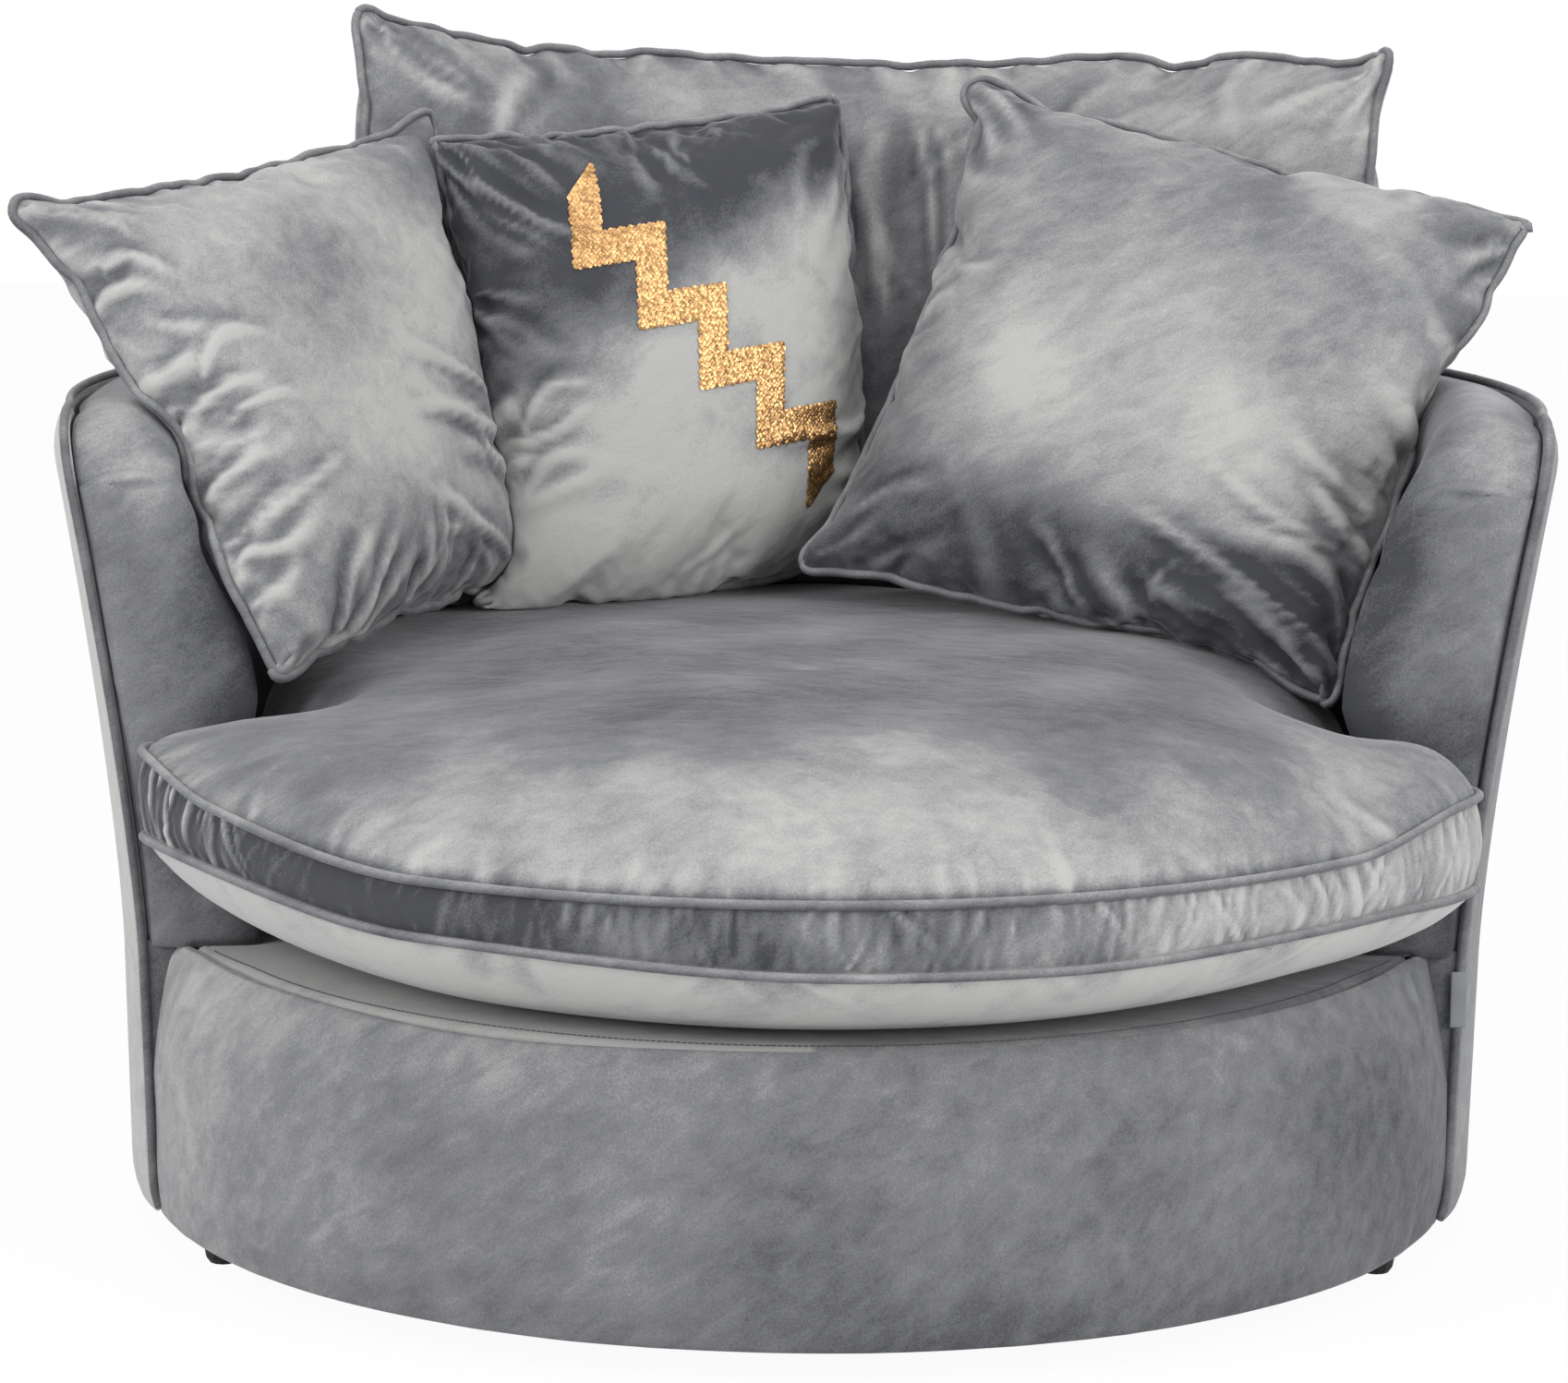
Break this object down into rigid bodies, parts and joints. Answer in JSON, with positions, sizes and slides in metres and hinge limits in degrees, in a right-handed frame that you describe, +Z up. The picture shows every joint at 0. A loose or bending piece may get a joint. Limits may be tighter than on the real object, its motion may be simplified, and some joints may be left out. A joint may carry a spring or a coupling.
{
  "type": "swivel armchair",
  "caption": "Wide round upholstered swivel armchair with a static base, turning tub, loose seat and back cushions and scatter cushions.",
  "frame": {"origin": "middle of the bounding box's bottom face, on the floor under the feet; the swivel axis stands 3 mm to the left of it and 21.5 mm in front", "axes": "+Z up, front of the chair towards -Y, +X to the right as seen from the front"},
  "size_m": [1.2895, 1.2412, 1.0139],
  "materials": {
    "velvet": "grey crushed velvet, mid grey",
    "velvet_light": "grey crushed velvet, pile catching the light",
    "velvet_dark": "grey crushed velvet piping, pile turned down",
    "sequin_gold": "coppery gold sequins",
    "black_plastic": "black moulded plastic",
    "timber": "sawn softwood",
    "plywood": "plywood",
    "zinc_steel": "zinc plated",
    "webbing": "black elastic webbing",
    "dust_cloth": "black non-woven cloth",
    "woven_tag": "grey woven tag"
  },
  "bodies": {
    "swivel_base": {"base_rail_lower": "timber", "base_rail_upper": "timber", "foot_front_left": "black_plastic", "foot_front_right": "black_plastic", "foot_rear_left": "black_plastic", "foot_rear_right": "black_plastic", "swivel_plate_lower": "zinc_steel", "lower_bolt_1": "zinc_steel", "lower_bolt_2": "zinc_steel", "lower_bolt_3": "zinc_steel", "lower_bolt_4": "zinc_steel", "pivot_pin": "zinc_steel"},
    "ball_cage_body": {"ball_cage": "zinc_steel"},
    "tub": {"swivel_plate_upper": "zinc_steel", "base_board": "plywood", "upper_bolt_1": "zinc_steel", "upper_bolt_2": "zinc_steel", "upper_bolt_3": "zinc_steel", "upper_bolt_4": "zinc_steel", "dust_cover": "dust_cloth", "base_post_1": "timber", "base_post_2": "timber", "base_post_3": "timber", "base_post_4": "timber", "base_post_5": "timber", "base_post_6": "timber", "seat_ring": "plywood", "seat_web_side_1": "webbing", "seat_web_long_1": "webbing", "seat_web_side_2": "webbing", "seat_web_long_2": "webbing", "seat_web_side_3": "webbing", "seat_web_long_3": "webbing", "rim_rail": "plywood", "back_post_1": "timber", "back_post_2": "timber", "back_post_3": "timber", "arm_post_left": "timber", "arm_post_right": "timber", "seat_deck": "velvet", "outer_panel": "velvet", "front_apron": "velvet", "inner_padding": "velvet", "rim_piping": "velvet_dark", "side_tag": "woven_tag"},
    "seat_cushion_body": {"seat_cushion": "velvet_light", "seat_piping_upper": "velvet_dark", "seat_piping_lower": "velvet_dark"},
    "back_cushion_body": {"back_cushion": "velvet", "back_cushion_piping": "velvet_dark"},
    "left_scatter_body": {"left_scatter_cushion": "velvet_light", "left_scatter_cushion_piping": "velvet_dark"},
    "centre_scatter_body": {"centre_scatter_cushion": "velvet", "centre_scatter_cushion_piping": "velvet_dark", "sequin_motif": "sequin_gold"},
    "right_scatter_body": {"right_scatter_cushion": "velvet_light", "right_scatter_cushion_piping": "velvet_dark"}
  },
  "joints": [
    {"name": "swivel", "type": "hinge", "parent": "swivel_base", "child": "tub", "pos_m": [-0.003, -0.0215, 0.05], "axis": [0, 0, 1], "continuous": true},
    {"name": "ball_cage_turn", "type": "hinge", "parent": "swivel_base", "child": "ball_cage_body", "pos_m": [-0.003, -0.0215, 0.05], "axis": [0, 0, 1], "continuous": true},
    {"name": "seat_cushion_lift", "type": "slide", "parent": "tub", "child": "seat_cushion_body", "axis": [0, 0, 1], "range_m": [0, 0.5]},
    {"name": "back_cushion_lift", "type": "slide", "parent": "seat_cushion_body", "child": "back_cushion_body", "axis": [0, 0, 1], "range_m": [0, 0.35]},
    {"name": "left_scatter_lift", "type": "slide", "parent": "back_cushion_body", "child": "left_scatter_body", "axis": [0, -0.5, 0.866], "range_m": [0, 0.4]},
    {"name": "centre_scatter_lift", "type": "slide", "parent": "left_scatter_body", "child": "centre_scatter_body", "axis": [0, -0.5, 0.866], "range_m": [0, 0.4]},
    {"name": "right_scatter_lift", "type": "slide", "parent": "centre_scatter_body", "child": "right_scatter_body", "axis": [0, -0.5, 0.866], "range_m": [0, 0.4]}
  ],
  "couplings": [
    {"joint": "ball_cage_turn", "follows": "swivel", "ratio": 0.5}
  ]
}
